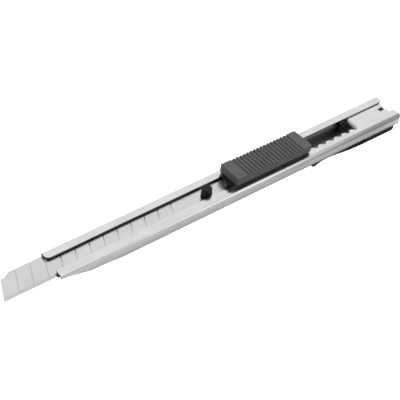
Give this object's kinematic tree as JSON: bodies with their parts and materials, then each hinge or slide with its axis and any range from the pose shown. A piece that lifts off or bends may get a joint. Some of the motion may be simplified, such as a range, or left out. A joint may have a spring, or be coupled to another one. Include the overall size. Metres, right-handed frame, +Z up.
{
  "type": "snap-off utility knife",
  "caption": "Slim snap-off utility knife: folded metal sheath, scored blade on a sled with a ribbed thumb grip, and a pull-off pocket clip.",
  "frame": {"origin": "under the middle of the object as drawn, on the plane of the clip's lowest face", "axes": "+X from the blade's tip to the rear end, +Y towards the blade's spine, +Z up through the thumb grip"},
  "size_m": [0.1538, 0.0114, 0.0104],
  "materials": {
    "stainless_sheath": "satin",
    "blade_steel": "polished",
    "spring_steel": "bright",
    "grip_plastic": "fine texture",
    "sled_plastic": "smooth",
    "clip_plastic": "satin"
  },
  "bodies": {
    "sheath": {"sheath": "stainless_sheath"},
    "sled": {"sled": "sled_plastic", "thumb_grip": "grip_plastic", "blade_stud": "sled_plastic", "blade_segment_02": "blade_steel", "blade_segment_03": "blade_steel", "blade_segment_04": "blade_steel", "blade_segment_05": "blade_steel", "blade_segment_06": "blade_steel", "blade_segment_07": "blade_steel", "blade_segment_08": "blade_steel", "blade_segment_09": "blade_steel", "blade_segment_10": "blade_steel", "blade_segment_11": "blade_steel", "blade_segment_12": "blade_steel", "blade_tang": "blade_steel"},
    "blade_tip": {"blade_segment_01": "blade_steel"},
    "lock": {"lock_spring": "spring_steel"},
    "clip": {"clip_root": "clip_plastic"},
    "clip_arm": {"clip_arm": "clip_plastic"}
  },
  "joints": [
    {"name": "blade_travel", "type": "slide", "parent": "sheath", "child": "sled", "axis": [-1, 0, 0], "range_m": [-0.0207, 0.02415]},
    {"name": "segment_snap", "type": "hinge", "parent": "sled", "child": "blade_tip", "pos_m": [-0.06975, 0.00055, 0.00549], "axis": [-0.4384, -0.8988, 0], "range_deg": [0, 20], "stiffness_Nm_per_rad": 1},
    {"name": "lock_flex", "type": "hinge", "parent": "sled", "child": "lock", "pos_m": [0.01805, -0.00145, 0.0065], "axis": [0, 0, -1], "range_deg": [0, 3], "stiffness_Nm_per_rad": 0.02, "springref_deg": 3},
    {"name": "clip_pull", "type": "slide", "parent": "sheath", "child": "clip", "axis": [1, 0, 0], "range_m": [0, 0.03]},
    {"name": "clip_flex", "type": "hinge", "parent": "clip", "child": "clip_arm", "pos_m": [0.06245, 0, 0.00062], "axis": [0, -1, 0], "range_deg": [0, 6], "stiffness_Nm_per_rad": 1.2}
  ]
}
